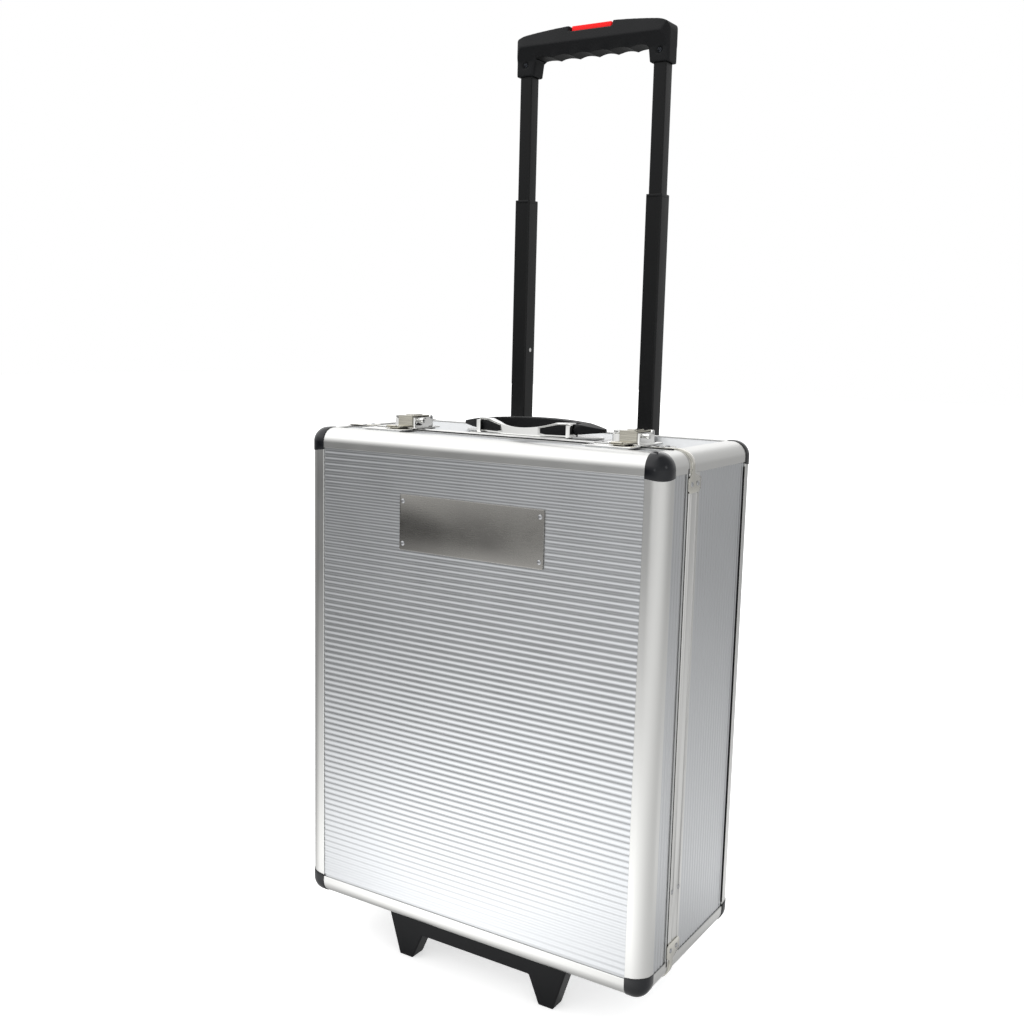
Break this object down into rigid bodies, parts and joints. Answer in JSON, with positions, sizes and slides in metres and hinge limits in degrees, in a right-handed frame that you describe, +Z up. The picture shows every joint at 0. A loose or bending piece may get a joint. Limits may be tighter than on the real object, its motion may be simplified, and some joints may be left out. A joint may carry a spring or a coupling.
{
  "type": "art supply box",
  "caption": "Rolling art supply case in ribbed aluminium with black ball corners, a front lid, latches, a carry handle and a pull-up trolley handle.",
  "frame": {"origin": "middle of the footprint on the ground, under the centre of the bounding box", "axes": "+Z up along the trolley tubes, -Y towards the front of the lid, X across the width"},
  "size_m": [0.3674, 0.2202, 0.8805],
  "materials": {
    "ribbed_sheet": "anodised satin",
    "extrusion": "anodised satin",
    "board": "raw plywood",
    "lining": "dark felt",
    "bright_metal": "nickel plated",
    "plate_metal": "brushed",
    "pin_steel": "zinc plated",
    "black_plastic": "fine grain",
    "gloss_black": "polished",
    "black_tube": "black satin coat",
    "red_plastic": "moulded",
    "hub_plastic": "moulded",
    "tyre_rubber": "rubber"
  },
  "bodies": {
    "case_body": {"back_panel": "ribbed_sheet", "body_wall_panels": "ribbed_sheet", "body_boards": "board", "body_liner": "lining", "body_back_extrusions": "extrusion", "body_depth_extrusions": "extrusion", "body_corner_caps": "gloss_black", "body_rim_frame": "extrusion", "seam_brackets": "bright_metal", "bracket_rivets": "bright_metal", "hinge_body_leaves": "pin_steel", "hinge_pins": "pin_steel", "stay_body_brackets": "pin_steel", "latch_bases": "bright_metal", "hasp_pins": "pin_steel", "handle_base": "bright_metal", "handle_insets": "black_plastic", "handle_pins": "pin_steel", "fixed_tubes": "black_tube", "fixed_collars": "black_tube", "tube_bracket": "black_tube", "wheel_housings": "black_plastic", "axles": "pin_steel"},
    "case_lid": {"lid_front_panel": "ribbed_sheet", "lid_wall_panels": "ribbed_sheet", "lid_boards": "board", "lid_liner": "lining", "lid_front_extrusions": "extrusion", "lid_depth_extrusions": "extrusion", "lid_corner_caps": "gloss_black", "lid_rim_frame": "extrusion", "name_plate": "plate_metal", "plate_rivets": "bright_metal", "foot_bar": "black_plastic", "hinge_lid_leaves": "pin_steel", "stay_lid_brackets": "pin_steel", "latch_keepers": "bright_metal"},
    "stay_a_left_arm": {"stay_link_a_left": "pin_steel"},
    "stay_a_right_arm": {"stay_link_a_right": "pin_steel"},
    "stay_b_left_arm": {"stay_link_b_left": "pin_steel"},
    "stay_b_right_arm": {"stay_link_b_right": "pin_steel"},
    "left_hasp": {"hasp_left": "bright_metal"},
    "right_hasp": {"hasp_right": "bright_metal"},
    "left_key_barrel": {"key_barrel_left": "bright_metal"},
    "right_key_barrel": {"key_barrel_right": "bright_metal"},
    "left_push_button": {"push_button_left": "bright_metal"},
    "right_push_button": {"push_button_right": "bright_metal"},
    "carry_handle": {"handle_grip": "black_plastic"},
    "middle_stage": {"mid_tubes": "black_tube", "mid_collars": "black_tube", "lock_studs": "bright_metal"},
    "inner_stage": {"inner_tubes": "black_tube", "pull_grip": "black_plastic"},
    "release": {"release_button": "red_plastic", "release_rods": "pin_steel"},
    "left_wheel": {"hub_left": "hub_plastic", "tyre_left": "tyre_rubber"},
    "right_wheel": {"hub_right": "hub_plastic", "tyre_right": "tyre_rubber"}
  },
  "joints": [
    {"name": "lid_hinge", "type": "hinge", "parent": "case_body", "child": "case_lid", "pos_m": [0, -0.0639, 0.0441], "axis": [1, 0, 0], "range_deg": [0, 95]},
    {"name": "stay_a_left_pivot", "type": "hinge", "parent": "case_body", "child": "stay_a_left_arm", "pos_m": [-0.1706, -0.0419, 0.0951], "axis": [1, 0, 0], "range_deg": [0, 107.69]},
    {"name": "stay_b_left_pivot", "type": "hinge", "parent": "stay_a_left_arm", "child": "stay_b_left_arm", "pos_m": [-0.1688, -0.06641, 0.1443], "axis": [1, 0, 0], "range_deg": [-114.95, 0]},
    {"name": "stay_a_right_pivot", "type": "hinge", "parent": "case_body", "child": "stay_a_right_arm", "pos_m": [0.1706, -0.0419, 0.0951], "axis": [1, 0, 0], "range_deg": [0, 107.69]},
    {"name": "stay_b_right_pivot", "type": "hinge", "parent": "stay_a_right_arm", "child": "stay_b_right_arm", "pos_m": [0.1688, -0.06641, 0.1443], "axis": [1, 0, 0], "range_deg": [-114.95, 0]},
    {"name": "left_hasp_hinge", "type": "hinge", "parent": "case_body", "child": "left_hasp", "pos_m": [-0.111, -0.027, 0.51155], "axis": [-1, 0, 0], "range_deg": [0, 110]},
    {"name": "left_key_turn", "type": "hinge", "parent": "case_body", "child": "left_key_barrel", "pos_m": [-0.1254, -0.0409, 0.51235], "axis": [0, 0, -1], "range_deg": [0, 90]},
    {"name": "left_button_push", "type": "slide", "parent": "case_body", "child": "left_push_button", "axis": [-1, 0, 0], "range_m": [0, 0.004], "stiffness_N_per_m": 120, "springref_m": -0.001},
    {"name": "right_hasp_hinge", "type": "hinge", "parent": "case_body", "child": "right_hasp", "pos_m": [0.121, -0.027, 0.51155], "axis": [-1, 0, 0], "range_deg": [0, 110]},
    {"name": "right_key_turn", "type": "hinge", "parent": "case_body", "child": "right_key_barrel", "pos_m": [0.1066, -0.0409, 0.51235], "axis": [0, 0, -1], "range_deg": [0, 90]},
    {"name": "right_button_push", "type": "slide", "parent": "case_body", "child": "right_push_button", "axis": [-1, 0, 0], "range_m": [0, 0.004], "stiffness_N_per_m": 120, "springref_m": -0.001},
    {"name": "carry_handle_hinge", "type": "hinge", "parent": "case_body", "child": "carry_handle", "pos_m": [0, -0.0154, 0.5086], "axis": [1, 0, 0], "range_deg": [0, 90]},
    {"name": "middle_stage_slide", "type": "slide", "parent": "case_body", "child": "middle_stage", "axis": [0, 0, 1], "range_m": [-0.222, 0]},
    {"name": "inner_stage_slide", "type": "slide", "parent": "middle_stage", "child": "inner_stage", "axis": [0, 0, 1], "range_m": [-0.116, 0]},
    {"name": "release_press", "type": "slide", "parent": "inner_stage", "child": "release", "axis": [0, 0, -1], "range_m": [0, 0.003], "stiffness_N_per_m": 600, "springref_m": -0.003},
    {"name": "left_wheel_spin", "type": "hinge", "parent": "case_body", "child": "left_wheel", "pos_m": [-0.1, 0.0851, 0.025], "axis": [1, 0, 0], "continuous": true},
    {"name": "right_wheel_spin", "type": "hinge", "parent": "case_body", "child": "right_wheel", "pos_m": [0.1, 0.0851, 0.025], "axis": [1, 0, 0], "continuous": true}
  ],
  "couplings": [
    {"joint": "stay_a_left_pivot", "follows": "lid_hinge", "ratio": 1.1336},
    {"joint": "stay_b_left_pivot", "follows": "lid_hinge", "ratio": -1.21},
    {"joint": "stay_a_right_pivot", "follows": "lid_hinge", "ratio": 1.1336},
    {"joint": "stay_b_right_pivot", "follows": "lid_hinge", "ratio": -1.21}
  ]
}
